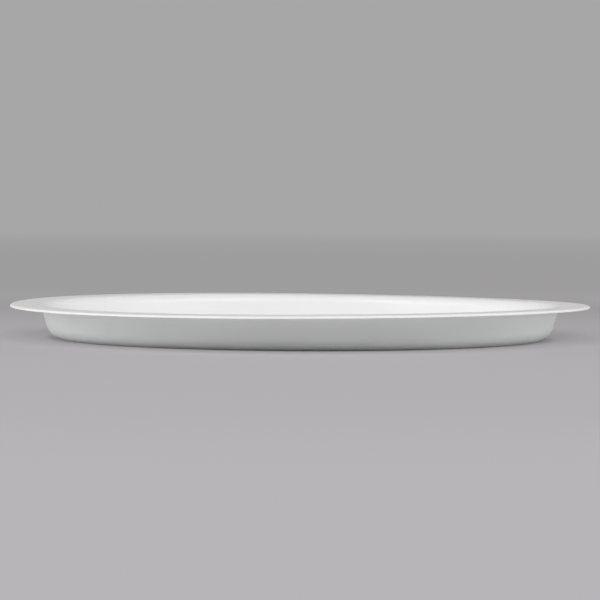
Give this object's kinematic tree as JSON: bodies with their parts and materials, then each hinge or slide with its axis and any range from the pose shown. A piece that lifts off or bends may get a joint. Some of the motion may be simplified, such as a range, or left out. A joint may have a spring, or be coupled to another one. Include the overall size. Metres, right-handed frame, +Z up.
{
  "type": "oval serving platter",
  "caption": "Oval white serving platter with a flat overhanging rim, a steep drafted wall, a flat well and a foot ring, moulded with a glaze skin on its serving side.",
  "frame": {"origin": "middle of the oval that the foot ring stands on, at table height", "axes": "+X along the platter's length, +Y across it, +Z up out of the well"},
  "size_m": [0.5334, 0.381, 0.0327],
  "materials": {
    "body": "satin moulded melamine, white",
    "glaze": "soft gloss melamine glaze, white"
  },
  "bodies": {
    "root": {"moulded_body": "body", "serving_glaze": "glaze"}
  },
  "joints": []
}
